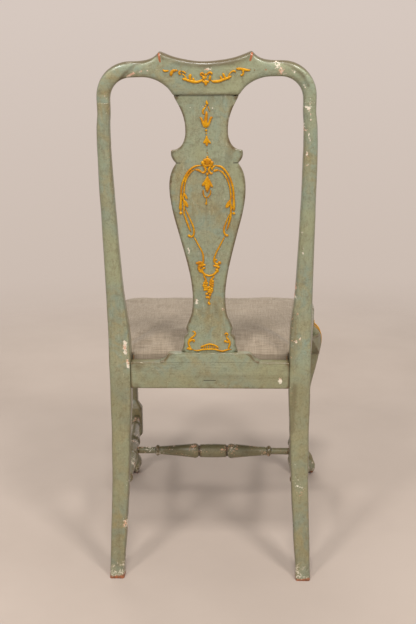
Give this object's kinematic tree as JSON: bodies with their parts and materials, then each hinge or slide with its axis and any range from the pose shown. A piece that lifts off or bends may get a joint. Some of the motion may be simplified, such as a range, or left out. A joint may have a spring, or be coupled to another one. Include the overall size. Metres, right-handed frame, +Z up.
{
  "type": "side chair",
  "caption": "Painted side chair with a vase splat, eared crest rail, cabriole front legs, turned stretchers and a lift-out linen seat.",
  "frame": {"origin": "on the floor under the middle of the chair's bounding box", "axes": "+Z up, -Y towards the front of the seat, +X towards the sitter's left"},
  "size_m": [0.5022, 0.5349, 1.0096],
  "materials": {
    "green_paint": "worn grey-green oil paint, satin, over beech",
    "ochre_paint": "ochre and gold painted ornament, satin",
    "bare_wood": "raw beech, matt",
    "linen": "plain woven natural linen",
    "hessian_cloth": "coarse jute cloth",
    "jute_webbing": "twill jute webbing",
    "cotton_stuffing": "cotton wadding over curled hair",
    "steel": "dull oxidised steel"
  },
  "bodies": {
    "chair_frame": {"rear_post_left": "green_paint", "rear_post_right": "green_paint", "crest_rail": "green_paint", "splat": "green_paint", "splat_shoe": "green_paint", "rear_seat_rail": "green_paint", "front_seat_rail": "green_paint", "side_seat_rail_left": "green_paint", "side_seat_rail_right": "green_paint", "front_leg_left": "green_paint", "front_leg_right": "green_paint", "knee_block_left_front": "green_paint", "knee_block_right_front": "green_paint", "knee_block_left_side": "green_paint", "knee_block_right_side": "green_paint", "side_stretcher_left": "green_paint", "side_stretcher_right": "green_paint", "medial_stretcher": "green_paint", "corner_brace_front_left": "bare_wood", "corner_brace_front_right": "bare_wood", "corner_brace_rear_left": "bare_wood", "corner_brace_rear_right": "bare_wood", "brace_screws": "steel"},
    "lift_out_seat": {"seat_frame_front": "bare_wood", "seat_frame_rear": "bare_wood", "seat_frame_left": "bare_wood", "seat_frame_right": "bare_wood", "webbing_lengthwise": "jute_webbing", "webbing_crosswise": "jute_webbing", "webbing_tacks": "steel", "hessian": "hessian_cloth", "stuffing": "cotton_stuffing", "linen_cover": "linen", "cover_tacks": "steel"}
  },
  "joints": [
    {"name": "seat_lift_out", "type": "slide", "parent": "chair_frame", "child": "lift_out_seat", "axis": [0, 0, 1], "range_m": [0, 0.15]}
  ]
}
